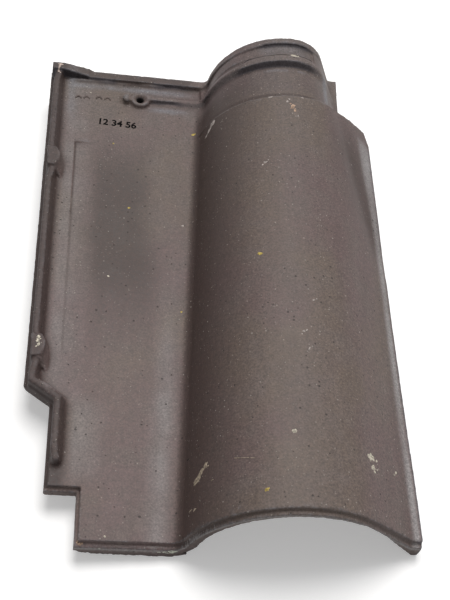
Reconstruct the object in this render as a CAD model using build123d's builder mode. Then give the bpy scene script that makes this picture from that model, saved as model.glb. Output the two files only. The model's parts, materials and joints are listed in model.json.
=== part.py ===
from build123d import *
from math import atan2, cos, degrees, hypot, radians, sin, sqrt, tan
from collections import namedtuple
import os

# Interlocking clay roof tile with a flat pan and one roll, pressed and fired as one piece.
# While it is shaped, x runs across from the side lock, y runs from the tail up to the head,
# and z = 0 is the upper face of the pan. At the end it is laid down as it rests on a floor.

# Overall size, mm
tile_length = 449.5
tile_width = 280.0
wall = 10.5              # thickness of pan and roll
foot_radius = 10.0       # hollow between the pan and the foot of the roll
form_floor = -70.0       # depth of the two press forms
form_right = 300.0       # the forms stand past the right edge

# Plan outline
side_cut_y = 122.5       # where the slanted cut leaves the left edge
side_cut_length = 14.0
side_cut_depth = 19.5    # how far the left edge steps in below the slanted cut
notch_width = 22.8       # corner notch at the tail
notch_length = 39.8
neck_length = 70.5       # the roll steps down to its neck this far from the head
neck_width = 257.0       # right edge of the neck at the head
neck_step_width = 254.5  # and at the step
flange_narrowing = 1.8   # the flange is this much narrower near the step
flange_corner_width = 6.5
flange_corner_length = 12.0
lower_bevel = 1.4        # bevel along the lower side edges

# Edge seam left by the two moulds
seam_width = 2.6
seam_drop = 3.5          # how far the seam ledge lies below the upper face
tail_seam_width = 3.4

# Roll sections: apex, radii left and right of it, slope of the straight right flank
Roll = namedtuple("Roll", "apex_x apex_z left_radius right_radius flank_angle")
tail_roll = Roll(190.0, 66.0, 77.0, 75.0, 40.0)
step_roll = Roll(205.0, 64.0, 74.0, 72.0, 41.0)
neck_roll = Roll(205.0, 60.4, 76.5, 43.0, 60.0)
head_roll = Roll(205.8, 60.2, 61.0, 36.0, 65.0)
tail_hollow = Roll(190.7, 69.0, 77.0, 89.5, 50.0)    # the roll's wall is thinner at the tail
narrow_length = 60.0     # length over which the hollow narrows from the roll to the neck

# Cover flange along the right edge
flange_top = 19.0
flange_foot_z = 2.0
ledge_round = 6.0        # hollow between the roll's flank and the flange

# Head lock: two cross ribs with steep walls and a groove between them
rib_height = 4.6         # above the pan
rib_lift = 1.6           # the ribs stand this much taller on top of the roll
rib_fade = 7.5           # their right shoulder is tighter, so they fade down the right flank
head_rib_crest = 7.4     # crest lengths along the tile
second_rib_crest = 5.0
rib_slope = 2.2          # length of each steep wall, down to the sunk foot
rib_foot = 3.0           # how deep the ribs' feet sink into the neck
groove_floor = 11.9
shallow_x = 134.0        # from here on, over the roll, the groove is shallow
shallow_depth = 2.6
groove_end_x = 226.0     # the groove stops before the right flank
bridge_drop = 0.6        # and the ribs join there, a little lower

# Block where the head rib meets the side lock rib, highest over the side lock rib
corner_block_x = 0.8
corner_block_high_x = 10.5
corner_block_low_x = 33.0
corner_block_end_x = 38.0
corner_block_height = 9.8
corner_block_low = 5.2   # height where it comes down to the head rib
corner_block_length = 8.0
corner_block_skew = 12.0 # the inner wall turns towards the head rib from here on

# Side lock rib along the left edge
side_rib_height = 7.5
side_rib_width = 9.4     # at the seam ledge
side_rib_taper = 12.0
side_rib_end_y = 56.0
side_rib_round = 1.5

# Nibs on the side lock rib
head_nib_inset = 101.0   # head end of the first nib, from the tile's head
tail_nib_offset = 38.0   # head end of the second nib, from the slanted cut
nib_length = 19.5
nib_bulge = 5.2          # how far the nib's foot stands out over the channel
nib_tip_bulge = 6.2      # and its pointed tail end
nib_rise = 2.0           # above the rib's crest
nib_slant = 12.0         # length of the sloping end that faces the tail
nib_shoulder = 1.0       # the crest's head end lies this far inside the rib's foot
nib_crest_bulge = 0.8
nib_pinch = 3.6          # and its tail end this far
nib_side = 0.5           # the left side stands this far inside the seam

# Shallow panel pressed into the pan, fading to the right and towards the tail
panel_x = 24.5
panel_width = 45.0
panel_head_inset = 84.5  # from the tile's head
panel_tail_offset = 23.5 # from the slanted cut
panel_depth = 1.3
panel_end_depth = 0.2

# Nail boss
nail_x = 79.5
nail_inset = 31.0        # from the tile's head
nail_radius = 3.0
boss_radius = 9.2
boss_height = 4.0
boss_taper = 20.0
sink_radius = 6.0        # countersink that takes the nail's head
sink_angle = 100.0
tab_radius = 4.3         # small knob beside the boss
tab_gap = 2.0

# Underside: tail lip, lock rib and batten lugs
lip_depth = 4.0
lip_length = 14.0
lip_end = 4.0            # how far the lip runs past the roll's foot
lip_corner_depth = 3.8   # its left end is bevelled
lip_corner_width = 15.0
lock_rib_y = 53.0
lock_rib_length = 7.0
lock_rib_height = 4.5
lug_xs = (42.0, 100.0)
lug_width = 24.0
lug_base_length = 15.0
lug_tip_length = 8.0
lug_inset = 31.5         # face that bears on the batten, from the tile's head
lug_depth = 15.0


step_y = tile_length - neck_length


def across(y):
    # Upright plane across the tile at y: its x is the tile's x, its y is the tile's z
    return Plane(origin=(0, y, 0), x_dir=(1, 0, 0), z_dir=(0, -1, 0))


def between(roll_a, roll_b, share):
    # Roll section part of the way from one section to the next
    return Roll(*(a + (b - a) * share for a, b in zip(roll_a, roll_b)))


def roll_foot_x(roll):
    # Where the pan ends and the hollow at the roll's left foot begins
    reach = roll.left_radius + foot_radius
    return roll.apex_x - sqrt(reach**2 - (roll.apex_z - reach) ** 2)


def form_section(y, roll, drop, edge_z):
    # Everything below the tile's upper face, lowered by drop, down to the form's floor.
    # Right of the roll the face runs level at edge_z.
    foot_x = roll_foot_x(roll)
    foot_angle = degrees(atan2(roll.apex_z - roll.left_radius - foot_radius, roll.apex_x - foot_x))
    left_centre = (roll.apex_x, roll.apex_z - roll.left_radius)
    right_centre = (roll.apex_x, roll.apex_z - roll.right_radius)
    fall = Vector(cos(radians(roll.flank_angle)), -sin(radians(roll.flank_angle)))
    with BuildSketch(across(y)) as section:
        with BuildLine():
            foot = CenterArc((foot_x, foot_radius), foot_radius + drop, -90, 90 + foot_angle)
            CenterArc(left_centre, roll.left_radius - drop, 180 + foot_angle, -90 - foot_angle)
            crown = CenterArc(right_centre, roll.right_radius - drop, 90, -roll.flank_angle)
            flank_length = ((crown @ 1).Y - edge_z) / -fall.Y
            round_length = ledge_round * tan(radians(roll.flank_angle / 2))
            flank = Line(crown @ 1, crown @ 1 + fall * (flank_length - round_length))
            ledge = JernArc(flank @ 1, fall, ledge_round, roll.flank_angle)
            Polyline(
                ledge @ 1,
                (form_right, edge_z),
                (form_right, form_floor),
                (-wall, form_floor),
                (-wall, -drop),
                foot @ 0,
            )
        make_face()
    return section.sketch


def rib_section(y, rise):
    # Section of a head rib: it follows the neck, stands taller on top and fades to the right
    neck = between(neck_roll, head_roll, (y - step_y) / neck_length)
    ridge = neck._replace(apex_z=neck.apex_z + rib_lift, right_radius=neck.right_radius - rib_fade)
    return form_section(y, ridge, -rise, flange_top)


def add_band(stations):
    # Raised band over the neck and the pan. Each station is a place along y and a rise there.
    for (y_a, rise_a), (y_b, rise_b) in zip(stations, stations[1:]):
        loft([rib_section(y_a, rise_a), rib_section(y_b, rise_b)], ruled=True)


def keep_right_of(x):
    # Cuts the part off left of x
    with BuildSketch(Plane.XY.offset(form_floor)) as plan:
        with Locations((x, 0)):
            Rectangle(tile_width, tile_length, align=Align.MIN)
    extrude(plan.sketch, amount=-2 * form_floor, mode=Mode.INTERSECT)


def cut_line_y(x, inset):
    # The slanted cut of the outline at x, moved into the tile by inset
    slope = side_cut_length / side_cut_depth
    return side_cut_y - slope * x + inset * hypot(1, slope)


# Upper form: tail seam, roll and neck
with BuildPart() as upper_form:
    seam_roll = between(tail_roll, step_roll, tail_seam_width / step_y)
    loft(
        [form_section(0, tail_roll, seam_drop, flange_top - seam_drop),
         form_section(tail_seam_width, seam_roll, seam_drop, flange_top - seam_drop)],
        ruled=True,
    )
    loft(
        [form_section(tail_seam_width, seam_roll, 0, flange_top),
         form_section(step_y, step_roll, 0, flange_top)],
        ruled=True,
    )
    loft(
        [form_section(step_y, neck_roll, 0, flange_top),
         form_section(tile_length, head_roll, 0, flange_top)],
        ruled=True,
    )

# Head rib, and the second rib that starts at the nail boss
head_end_y = tile_length - seam_width
head_crest_y = head_end_y - head_rib_crest
groove_end_y = head_crest_y - rib_slope
groove_start_y = groove_end_y - groove_floor
second_crest_end_y = groove_start_y - rib_slope
second_crest_y = second_crest_end_y - second_rib_crest
band_start_y = second_crest_y - rib_slope
nail_y = tile_length - nail_inset

with BuildPart() as head_rib:
    add_band([(groove_end_y, -rib_foot), (head_crest_y, rib_height), (head_end_y, rib_height)])
    keep_right_of(corner_block_low_x)

with BuildPart() as second_rib:
    add_band([(band_start_y, -rib_foot), (second_crest_y, rib_height), (second_crest_end_y, rib_height),
              (groove_start_y, -rib_foot)])
    keep_right_of(nail_x)

# Over the roll the groove is shallow, and right of it the two ribs are one
with BuildPart() as shallow_groove:
    add_band([(second_crest_y, rib_height - shallow_depth), (head_end_y, rib_height - shallow_depth)])
    keep_right_of(shallow_x)

with BuildPart() as rib_bridge:
    add_band([(second_crest_y, rib_height - bridge_drop), (head_end_y, rib_height - bridge_drop)])
    keep_right_of(groove_end_x)

# Lower form: the hollow that the underside is pressed over
with BuildPart() as lower_form:
    narrow_y = step_y - narrow_length
    narrow_roll = between(tail_roll, step_roll, narrow_y / step_y)
    stations = [(0, tail_hollow), (narrow_y, narrow_roll), (step_y, neck_roll), (tile_length, head_roll)]
    for (y_a, roll_a), (y_b, roll_b) in zip(stations, stations[1:]):
        loft(
            [form_section(y_a, roll_a, wall, flange_foot_z), form_section(y_b, roll_b, wall, flange_foot_z)],
            ruled=True,
        )

# Plan outline with the slanted cut, the tail notch and the neck
notch_x = side_cut_depth + notch_width
outline = [
    (0, tile_length),
    (0, side_cut_y),
    (side_cut_depth, side_cut_y - side_cut_length),
    (side_cut_depth, notch_length),
    (notch_x, notch_length),
    (notch_x, 0),
    (tile_width, 0),
    (tile_width - flange_narrowing, step_y - flange_corner_length),
    (tile_width - flange_corner_width, step_y),
    (neck_step_width, step_y),
    (neck_width, tile_length),
]
# The same outline inside the seam ledge. The slanted cut has no ledge.
upper_outline = [
    (seam_width, tile_length + seam_width),
    (seam_width, cut_line_y(seam_width, 0)),
    (side_cut_depth + seam_width, cut_line_y(side_cut_depth + seam_width, 0)),
    (side_cut_depth + seam_width, notch_length + seam_width),
    (notch_x + seam_width, notch_length + seam_width),
    (notch_x + seam_width, 0),
    (tile_width, 0),
    (tile_width, tile_length + seam_width),
]

# Side lock rib: it follows the left edge, turns with the slanted cut and ends above the notch
rib_x = seam_width + side_rib_width / 2
low_rib_x = rib_x + side_cut_depth
with BuildPart() as side_rib:
    with BuildSketch(Plane.XY.offset(-seam_drop)):
        with BuildLine():
            Polyline(
                (rib_x, tile_length - side_rib_width),
                (rib_x, cut_line_y(rib_x, side_rib_width / 2)),
                (low_rib_x, cut_line_y(low_rib_x, side_rib_width / 2)),
                (low_rib_x, side_rib_end_y + side_rib_width / 2),
            )
            offset(amount=side_rib_width / 2, side=Side.BOTH, kind=Kind.INTERSECTION)
        make_face()
    extrude(amount=seam_drop + side_rib_height, taper=side_rib_taper)
    fillet(side_rib.edges().group_by(Axis.Z)[-1], side_rib_round)

# Nibs: each is a raised crest on the rib that bulges over the channel and slopes to a point
with BuildPart() as nibs:
    rib_right = seam_width + side_rib_width
    nib_left = seam_width + nib_side
    for end_y in (tile_length - head_nib_inset, side_cut_y + tail_nib_offset):
        middle_y = end_y - nib_length / 2
        crest_end_y = end_y - nib_length
        with BuildSketch(Plane.XY.offset(-seam_drop)):
            with BuildLine():
                bulge = ThreePointArc(
                    (rib_right + nib_shoulder, end_y + nib_rise),
                    (rib_right + nib_bulge, middle_y),
                    (rib_right + nib_tip_bulge, crest_end_y - nib_slant),
                )
                Polyline(bulge @ 1, (nib_left, crest_end_y - nib_rise), (nib_left, end_y + nib_rise), bulge @ 0)
            make_face()
        with BuildSketch(Plane.XY.offset(side_rib_height + nib_rise)):
            with BuildLine():
                crest = ThreePointArc(
                    (rib_right - nib_shoulder, end_y),
                    (rib_right + nib_crest_bulge, middle_y),
                    (rib_right - nib_pinch, crest_end_y),
                )
                Polyline(crest @ 1, (nib_left, crest_end_y), (nib_left, end_y), crest @ 0)
            make_face()
        loft(ruled=True)

# Block in the head's left corner: its top slopes down to the head rib, its inner wall runs askew
with BuildPart() as corner_block:
    with BuildSketch(across(tile_length)):
        with BuildLine():
            Polyline(
                (corner_block_x, -seam_drop),
                (corner_block_x, corner_block_height),
                (corner_block_high_x, corner_block_height),
                (corner_block_low_x, corner_block_low),
                (corner_block_end_x, rib_height / 2),
                (corner_block_end_x, -seam_drop),
                close=True,
            )
        make_face()
    extrude(amount=seam_width + head_rib_crest)
    with BuildSketch(Plane.XY.offset(-seam_drop)):
        with BuildLine():
            Polyline(
                (corner_block_x, tile_length),
                (corner_block_x, tile_length - corner_block_length),
                (corner_block_skew, tile_length - corner_block_length),
                (corner_block_end_x, head_crest_y),
                (corner_block_end_x, tile_length),
                close=True,
            )
        make_face()
    extrude(amount=seam_drop + corner_block_height, mode=Mode.INTERSECT)

with BuildPart() as roof_tile:
    add(upper_form.part)
    add(head_rib.part)
    add(second_rib.part)
    add(shallow_groove.part)
    add(rib_bridge.part)
    add(lower_form.part, mode=Mode.SUBTRACT)

    # Lock rib under the tail, which drops between the head ribs of the next tile
    lock_roll = between(tail_roll, step_roll, lock_rib_y / step_y)
    with BuildSketch(across(lock_rib_y)):
        add(form_section(lock_rib_y, lock_roll, wall / 2, flange_top - wall / 2))
        add(form_section(lock_rib_y, lock_roll, wall + lock_rib_height, flange_foot_z), mode=Mode.SUBTRACT)
        Rectangle(notch_x, -form_floor, align=(Align.MIN, Align.CENTER), mode=Mode.SUBTRACT)
    extrude(amount=-lock_rib_length)

    # Tail lip: the pan's edge is thicker and runs out tangent to the roll's foot
    lip_x = roll_foot_x(tail_roll) + lip_end
    with BuildSketch(across(0)):
        with BuildLine():
            Polyline(
                (notch_x, -wall / 2),
                (notch_x, -wall - lip_depth + lip_corner_depth),
                (notch_x + lip_corner_width, -wall - lip_depth),
                (lip_x, -wall - lip_depth),
                (lip_x + foot_radius, -wall / 2 - lip_depth),
                (lip_x, -wall / 2),
                close=True,
            )
        make_face()
    extrude(amount=-lip_length)

    # Plan outline
    with BuildSketch(Plane.XY.offset(form_floor)):
        with BuildLine():
            Polyline(*outline, close=True)
        make_face()
    extrude(amount=-2 * form_floor, mode=Mode.INTERSECT)

    # Bevel along the lower side edges, from the head to the notch
    pan_edges = roof_tile.edges().filter_by_position(Axis.Z, -wall, -wall)
    chamfer(pan_edges.filter_by_position(Axis.X, 0, side_cut_depth), lower_bevel)

    # Seam ledge along the left edge and the notch
    with BuildSketch(Plane.XY.offset(-seam_drop)):
        with BuildLine():
            Polyline(*outline, close=True)
        make_face()
        with BuildLine():
            Polyline(*upper_outline, close=True)
        make_face(mode=Mode.SUBTRACT)
    extrude(amount=-form_floor, mode=Mode.SUBTRACT)

    # Side lock rib, its nibs and the block where it meets the head rib
    add(side_rib.part)
    add(nibs.part)
    add(corner_block.part)

    # Shallow panel in the pan
    panel_head_y = tile_length - panel_head_inset
    panel_tail_y = side_cut_y + panel_tail_offset
    panel_depths = ((panel_head_y, panel_depth), (panel_tail_y, panel_end_depth))
    for y, depth in panel_depths:
        with BuildSketch(across(y)):
            with BuildLine():
                Polyline((panel_x, -depth), (panel_x, depth), (panel_x + panel_width, depth), close=True)
            make_face()
    loft(ruled=True, mode=Mode.SUBTRACT)

    # Nail boss at the left end of the second head rib, with a knob beside it
    with BuildSketch():
        with Locations((nail_x, nail_y)):
            Circle(boss_radius)
        with Locations((nail_x - boss_radius - tab_gap, nail_y)):
            Circle(tab_radius)
    extrude(amount=boss_height, taper=boss_taper)
    with Locations((nail_x, nail_y, boss_height)):
        CounterSinkHole(nail_radius, sink_radius, counter_sink_angle=sink_angle)

    # Two lugs that hang over the batten
    lug_y = tile_length - lug_inset
    for lug_x in lug_xs:
        with BuildSketch(Plane(origin=(lug_x - lug_width / 2, 0, 0), x_dir=(0, 1, 0), z_dir=(1, 0, 0))):
            with BuildLine():
                Polyline(
                    (lug_y, -wall / 2),
                    (lug_y, -wall - lug_depth),
                    (lug_y + lug_tip_length, -wall - lug_depth),
                    (lug_y + lug_base_length, -wall / 2),
                    close=True,
                )
            make_face()
        extrude(amount=lug_width)

# Laid down on a level floor: it rolls onto the flange's foot and tips onto the right lug
roll_turn = degrees(atan2(flange_foot_z + wall + lip_depth, tile_width - lip_x))
lug_side = max(lug_xs) + lug_width / 2 - lip_x
lug_drop = (lug_depth - lip_depth) * cos(radians(roll_turn)) + lug_side * sin(radians(roll_turn))
tip_turn = degrees(atan2(lug_drop, lug_y))
laid = roof_tile.part.rotate(Axis.Y, roll_turn).rotate(Axis.X, tip_turn)
box = laid.bounding_box()
laid = laid.translate((-box.center().X, -box.center().Y, -box.min.Z))

laid.label = "roof_tile"
os.makedirs("parts", exist_ok=True)
export_step(laid, "parts/roof_tile.step")
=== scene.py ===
import itertools
import json
import math

import bmesh
import bpy
import numpy as np
from mathutils import Matrix, Vector
from mathutils.bvhtree import BVHTree

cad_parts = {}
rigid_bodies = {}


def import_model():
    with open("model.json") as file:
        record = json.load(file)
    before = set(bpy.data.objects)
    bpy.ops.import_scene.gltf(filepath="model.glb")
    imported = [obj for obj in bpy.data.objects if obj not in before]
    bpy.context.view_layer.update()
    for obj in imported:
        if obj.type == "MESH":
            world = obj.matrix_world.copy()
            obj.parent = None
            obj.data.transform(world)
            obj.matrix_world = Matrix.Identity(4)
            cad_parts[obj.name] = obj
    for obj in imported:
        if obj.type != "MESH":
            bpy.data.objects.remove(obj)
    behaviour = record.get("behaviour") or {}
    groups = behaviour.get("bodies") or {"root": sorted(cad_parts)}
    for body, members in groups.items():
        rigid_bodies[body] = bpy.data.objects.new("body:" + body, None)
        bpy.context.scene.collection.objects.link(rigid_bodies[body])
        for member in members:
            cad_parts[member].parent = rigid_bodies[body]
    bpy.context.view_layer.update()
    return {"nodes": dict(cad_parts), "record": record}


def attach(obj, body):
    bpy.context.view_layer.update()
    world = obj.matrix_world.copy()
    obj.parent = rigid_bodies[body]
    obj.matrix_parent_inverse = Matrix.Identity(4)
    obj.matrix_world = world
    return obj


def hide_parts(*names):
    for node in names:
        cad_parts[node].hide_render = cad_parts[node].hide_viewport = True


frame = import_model()
tileNode = frame["nodes"]["roof_tile"]
mm = 0.001

# The tile's own directions: across from the side lock, along from the tail, up from the pan.
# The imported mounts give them, because the tile lies a little tilted on the floor.
nailPlace = Vector((79.5, 418.5, -4.5)) * mm    # middle of the nail hole in these directions
mounts = {mount["name"]: mount for mount in frame["record"]["mounts"]}
tileUp = Vector(mounts["nail_hole"]["axis"]).normalized()
tileAlong = Vector(mounts["side_lock"]["axis"]).normalized()
tileAcross = tileAlong.cross(tileUp)
tileTurn = Matrix((tileAcross, tileAlong, tileUp)).transposed()
tileOrigin = Vector(mounts["nail_hole"]["pos_m"]) - tileTurn @ nailPlace
tileToFloor = Matrix.Translation(tileOrigin) @ tileTurn.to_4x4()
floorToTile = tileToFloor.inverted()


# Numbers for meshes
def meshPoints(mesh):
    points = np.empty(len(mesh.vertices) * 3, np.float32)
    mesh.vertices.foreach_get("co", points)
    return points.reshape(-1, 3).astype(float)


def meshNormals(mesh):
    normals = np.empty(len(mesh.vertices) * 3, np.float32)
    mesh.vertex_normals.foreach_get("vector", normals)
    return normals.reshape(-1, 3).astype(float)


def meshEdges(mesh):
    edges = np.empty(len(mesh.edges) * 2, np.int32)
    mesh.edges.foreach_get("vertices", edges)
    return edges.reshape(-1, 2)


def setPoints(mesh, points):
    mesh.vertices.foreach_set("co", points.astype(np.float32).ravel())
    mesh.update()


def neighbourMean(values, edges):
    # mean of each row over the vertices joined to it by an edge
    count = np.bincount(edges.ravel(), minlength=len(values)).clip(1)
    total = np.empty_like(values)
    for k in range(values.shape[1]):
        total[:, k] = np.bincount(edges[:, 0], values[edges[:, 1], k], len(values))
        total[:, k] += np.bincount(edges[:, 1], values[edges[:, 0], k], len(values))
    return total / count[:, None]


def standsOut(points, normals, edges, rounds):
    # how far each vertex stands out of a copy that was smoothed this many rounds
    smooth = points.copy()
    for _ in range(rounds):
        smooth += 0.8 * (neighbourMean(smooth, edges) - smooth)
    return ((points - smooth) * normals).sum(axis=1)


def softNoise(points, size, seed):
    # smooth random values between -1 and 1 that change over this size
    cells = 48
    lattice = np.random.default_rng(seed).uniform(-1, 1, (cells, cells, cells))
    place = points / size
    cell = np.floor(place).astype(int)
    part = place - cell
    part = part * part * (3 - 2 * part)
    value = np.zeros(len(points))
    for corner in itertools.product((0, 1), repeat=3):
        weight = np.prod(np.where(corner, part, 1 - part), axis=1)
        i, j, k = ((cell + corner) % cells).T
        value += weight * lattice[i, j, k]
    return value


def smoothStep(low, high, values):
    share = np.clip((values - low) / (high - low), 0, 1)
    return share * share * (3 - 2 * share)


def fromLine(points, start, end):
    # distance of each point from a line in plan, and how far along the line it is, from 0 to 1
    way = np.array(end, float) - start
    offset = points[:, :2] - start
    share = offset @ way / (way @ way)
    return abs(offset @ (-way[1], way[0])) / math.hypot(*way), share


def inRange(values, low, high, fading):
    rise = smoothStep(low - fading, low + fading, values)
    return rise * smoothStep(high + fading, high - fading, values)


def hump(values, middle, width):
    return np.exp(-(((values - middle) / width) ** 2))


def softPatches(x, y, rows):
    # strongest of some soft rectangles: x from, to, fading, y from, to, fading, strength
    values = np.zeros(len(x))
    for left, right, fadeX, low, high, fadeY, strength in rows:
        patch = strength * inRange(x, left, right, fadeX) * inRange(y, low, high, fadeY)
        values = np.maximum(values, patch)
    return values


def besideRib(x, y):
    # distance from the left edge, which steps in below the slanted cut, mm
    turnHigh, turnLow, stepIn = body["ribTurn"]
    return x - stepIn * smoothStep(turnHigh, turnLow, y)


def addObject(name, mesh):
    thing = bpy.data.objects.new(name, mesh)
    bpy.context.scene.collection.objects.link(thing)
    return thing


def applyModifiers(thing):
    depsgraph = bpy.context.evaluated_depsgraph_get()
    mesh = bpy.data.meshes.new_from_object(thing.evaluated_get(depsgraph))
    thing.modifiers.clear()
    old = thing.data
    thing.data = mesh
    bpy.data.meshes.remove(old)
    return mesh


# The tile's body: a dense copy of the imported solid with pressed, slightly uneven faces
body = {
    "weld": 0.01 * mm,
    "grain": 0.85 * mm,                 # spacing of the dense mesh
    "softenRounds": 7,                  # rounding of the pressed edges
    "softenPush": (0.60, -0.54),        # in and back out, so that nothing shrinks
    "unevenness": (                     # height and size of each
        (0.20 * mm, 55 * mm),           # slow waves in the faces
        (0.07 * mm, 13 * mm),           # marks of the press mould
        (0.045 * mm, 3.5 * mm),
    ),
    "sharpEdge": (6, 0.10 * mm, 0.35 * mm),     # smoothing rounds, and how far an edge stands out
    "edgeBite": (0.40 * mm, 4.0 * mm),          # how much the sharp edges crumble, and the size
    "burrBite": 1.5 * mm,                       # and the seams along the tail and the left edge
    "burrReach": (3 * mm, 0.5 * mm),            # none at the first distance from the seam, full at the second
    "burrDepth": (-2 * mm, -6 * mm),            # none at the first height, full at the second
    "undersideFrom": -2 * mm,                   # lower than this is the underside
    "triangles": 190000,
    # fold in the right flank: from, to, mm; width and depth, mm
    "fold": ((252, 346), (269, 256)),
    "foldShape": (8.0, 1.6),
    # where the second rib runs softly down the flanks: rows as in softPatches
    "softFlanks": ((114, 158, 5, 403, 424, 3, 0.8), (227, 262, 5, 403, 429, 3, 0.8)),
    "softRounds": 40,
    # fine steps of the head: rows as in softPatches, with the height in mm
    "relief": (
        (166, 224, 3, 423.6, 426.6, 1.0, 2.4),      # the second rib widens on the crown
        (180, 221, 3, 430.5, 440.6, 1.6, -1.5),     # the groove is deeper there
        (146, 168, 12, 426.0, 439.2, 2.4, 2.1),     # and runs out on the left flank
        (62.4, 69.5, 1.6, 414.4, 424.6, 1.6, 1.4),  # knob beside the boss
    ),
    # side lock rib, mm
    "ribTurn": (121, 107, 19.5),        # the left edge steps in between these places, by this
    "ribAlong": (62, 436, 8),           # from, to, fading
    "ribHeight": 6.5,
    "ribLean": 1.9,                     # its crest leans left by this
    "ribLeanFrom": 0.5,                 # height where the lean begins
    "ribRight": (17, 12),               # beside the edge, the lean fades out here
    "ribWall": (6, 8, 9.4),             # the foot begins between the first two and runs out from the third
    "nibs": ((319, 346, 6), (133, 161, 6)),     # from, to, fading: the rib keeps its own shape there
    # hollow foot of each rib: height and reach on the pan, mm
    "sideFoot": (3.0, 2.2),
    # for the head ribs also the line along the tile where the foot begins, and where it starts across
    "headFeet": ((437.2, 2.4, 2.2, None), (415.6, 2.0, 1.9, (88, 93))),
    "headFeetAcross": (16, 114, 5),
    "headFeetUneven": (0.75, 0.5, 7 * mm),      # mean, change and size
    # pressing faults in the tile's directions, mm: place, length, width, turn, depth
    "faults": (
        ((7.5, 141.0), 7.0, 1.6, 12, 0.9),
        ((12.0, 137.5), 5.0, 1.5, -28, 0.6),
        ((176.0, 378.0), 9.0, 1.8, 4, 0.5),
        ((190.5, 378.6), 6.0, 1.8, 2, 0.6),
        ((214.0, 378.2), 7.0, 1.6, -4, 0.5),
        ((233.0, 378.4), 5.0, 1.8, -6, 0.5),
        ((206.0, 428.7), 4.5, 2.2, 8, 0.5),
        ((95.0, 423.4), 8.0, 1.5, 0, 0.4),
        ((104.5, 423.4), 6.0, 1.6, 0, 0.5),
        ((112.0, 423.2), 5.0, 1.4, 3, 0.4),
    ),
}


def makeDenseTile():
    mesh = tileNode.data.copy()
    welded = bmesh.new()
    welded.from_mesh(mesh)
    bmesh.ops.remove_doubles(welded, verts=welded.verts, dist=body["weld"])
    welded.to_mesh(mesh)
    welded.free()
    mesh.transform(floorToTile)         # its long edges then run along the grain
    tile = addObject("tileBody", mesh)
    remesh = tile.modifiers.new("grain", "REMESH")
    remesh.mode = "VOXEL"
    remesh.voxel_size = body["grain"]
    return tile, applyModifiers(tile)


def edgeWear(points, normals, edges):
    # how deep the sharp edges have crumbled, and more along the seams
    x, y, z = points.T
    rounds, low, high = body["sharpEdge"]
    sharp = smoothStep(low, high, standsOut(points, normals, edges, rounds))
    height, size = body["edgeBite"]
    bite = softNoise(points, size, 21) * 0.6 + softNoise(points, size / 2.3, 22) * 0.4
    burr = np.maximum(smoothStep(*body["burrReach"], x), smoothStep(*body["burrReach"], y))
    burr *= smoothStep(*body["burrDepth"], z)
    height = height + (body["burrBite"] - height) * burr
    return height * sharp * np.clip(bite, -0.25, 1)


def pressedForms(points, normals):
    # small pressing faults, the fold in the right flank and the fine steps of the head
    x, y, z = points.T
    up = normals[:, 2]
    lift = np.zeros(len(points))
    for place, length, width, turn, depth in body["faults"]:
        along = np.array((math.cos(math.radians(turn)), math.sin(math.radians(turn))))
        offset = points[:, :2] - np.array(place) * mm
        lengthwise, crosswise = offset @ along, offset @ (-along[1], along[0])
        far = np.hypot(lengthwise / (length / 2), crosswise / (width / 2)) / mm
        lift -= depth * mm * np.exp(-(far**2)) * (up > 0.1)
    far, share = fromLine(points / mm, *body["fold"])
    width, depth = body["foldShape"]
    lift -= depth * mm * hump(far, 0, width) * smoothStep(1.2, 0.6, abs(share - 0.3)) * (up > 0)
    for left, right, fadeX, low, high, fadeY, height in body["relief"]:
        share = inRange(x / mm, left, right, fadeX) * inRange(y / mm, low, high, fadeY)
        lift += height * mm * share * smoothStep(0.1, 0.5, up) * (z > body["undersideFrom"])
    return lift


def ribMoves(points):
    # how far the side rib leans left, and how high the feet of the ribs rise, mm
    x, y, z = points.T / mm
    ribSide = besideRib(x, y)
    height = body["ribHeight"]
    alongRib = inRange(y, *body["ribAlong"]) * (ribSide > -2)
    for nib in body["nibs"]:
        alongRib *= 1 - inRange(y, *nib)
    lean = body["ribLean"] * smoothStep(body["ribLeanFrom"], height, z)
    lean *= smoothStep(*body["ribRight"], ribSide) * alongRib
    low = np.clip(1 - z / height, 0, 1) * (z > body["undersideFrom"] / mm)
    fill, reach = body["sideFoot"]
    crest, wall, foot = body["ribWall"]
    rise = fill * low * smoothStep(crest, wall, ribSide) * alongRib
    rise *= np.exp(-np.maximum(ribSide - foot, 0) / reach)
    onPan = inRange(x, *body["headFeetAcross"])
    mean, change, size = body["headFeetUneven"]
    uneven = mean + change * softNoise(points, size, 24)
    for start, fill, reach, across in body["headFeet"]:
        near = np.exp(-np.maximum(start - y, 0) / reach) * smoothStep(start + 3, start + 1.5, y)
        if across:
            near *= smoothStep(*across, x)
        rise = np.maximum(rise, fill * low * near * onPan * uneven)
    return lean, rise


def makeBody():
    tile, mesh = makeDenseTile()
    points = meshPoints(mesh)
    edges = meshEdges(mesh)
    for _ in range(body["softenRounds"]):
        for push in body["softenPush"]:
            points += push * (neighbourMean(points, edges) - points)
    setPoints(mesh, points)
    normals = meshNormals(mesh)

    lift = pressedForms(points, normals) - edgeWear(points, normals, edges)
    for seed, (height, size) in enumerate(body["unevenness"], start=10):
        lift += height * softNoise(points, size, seed)
    lean, rise = ribMoves(points)
    soft = softPatches(points[:, 0] / mm, points[:, 1] / mm, body["softFlanks"])
    soft = (soft * (normals[:, 2] > 0.1))[:, None]
    points = points + normals * lift[:, None]
    points[:, 0] -= lean * mm
    points[:, 2] += rise * mm
    for _ in range(body["softRounds"]):
        points += soft * (neighbourMean(points, edges) - points)
    setPoints(mesh, points)

    thin = tile.modifiers.new("thin", "DECIMATE")
    thin.ratio = min(1, body["triangles"] / (2 * len(mesh.polygons)))
    mesh = applyModifiers(tile)
    mesh.shade_smooth()
    print("tile body:", len(mesh.polygons), "faces")
    return tile


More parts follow.
